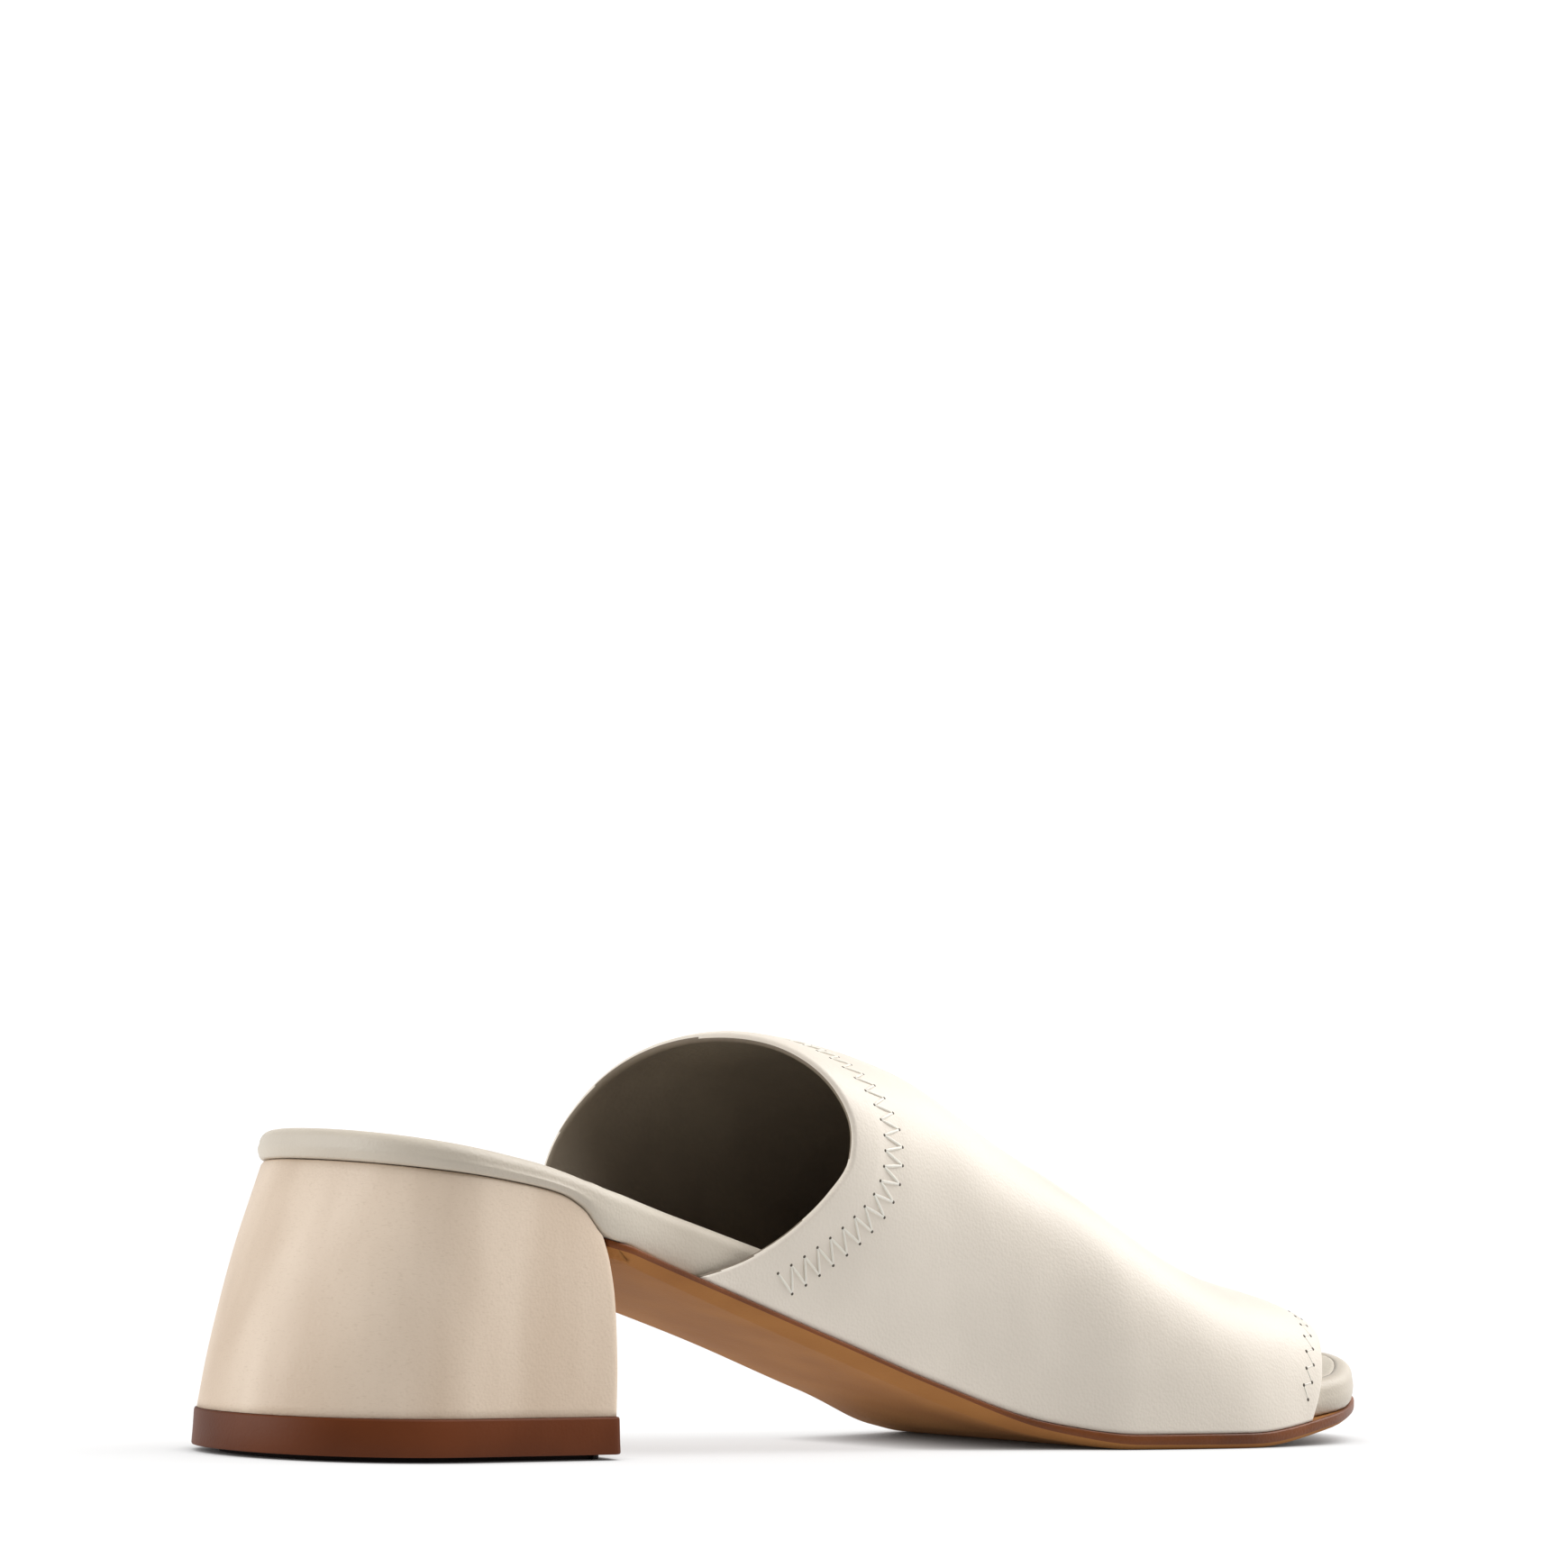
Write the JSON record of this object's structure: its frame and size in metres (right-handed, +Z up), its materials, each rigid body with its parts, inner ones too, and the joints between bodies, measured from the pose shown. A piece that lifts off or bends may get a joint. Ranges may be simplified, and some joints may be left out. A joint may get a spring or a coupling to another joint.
{
  "type": "block heel sandal",
  "caption": "Slip-on block heel sandal with a closed hollow vamp, a small peep toe, an open back and a low flared block heel.",
  "frame": {"origin": "middle of the heel's tread on the floor", "axes": "+Y along the shoe towards the toe, +X to the outer side of the foot, +Z up"},
  "size_m": [0.0761, 0.259, 0.0755],
  "materials": {
    "top_lift_rubber": "moulded reddish brown tread plate, satin",
    "heel_wrap": "pinkish beige heel cover, satin, fine short fleck",
    "outsole_tan": "smooth tan sole sheet with a burnished orange-brown edge",
    "footbed_wrap": "smooth off-white beige leather over the footbed's edge",
    "insole_lining": "fine lining leather, matte",
    "upper_leather": "smooth soft off-white beige leather, low sheen, zigzag stitched rims"
  },
  "bodies": {
    "root": {"top_lift": "top_lift_rubber", "heel": "heel_wrap", "outsole": "outsole_tan", "footbed": "footbed_wrap", "insole": "insole_lining", "upper": "upper_leather"}
  },
  "joints": []
}
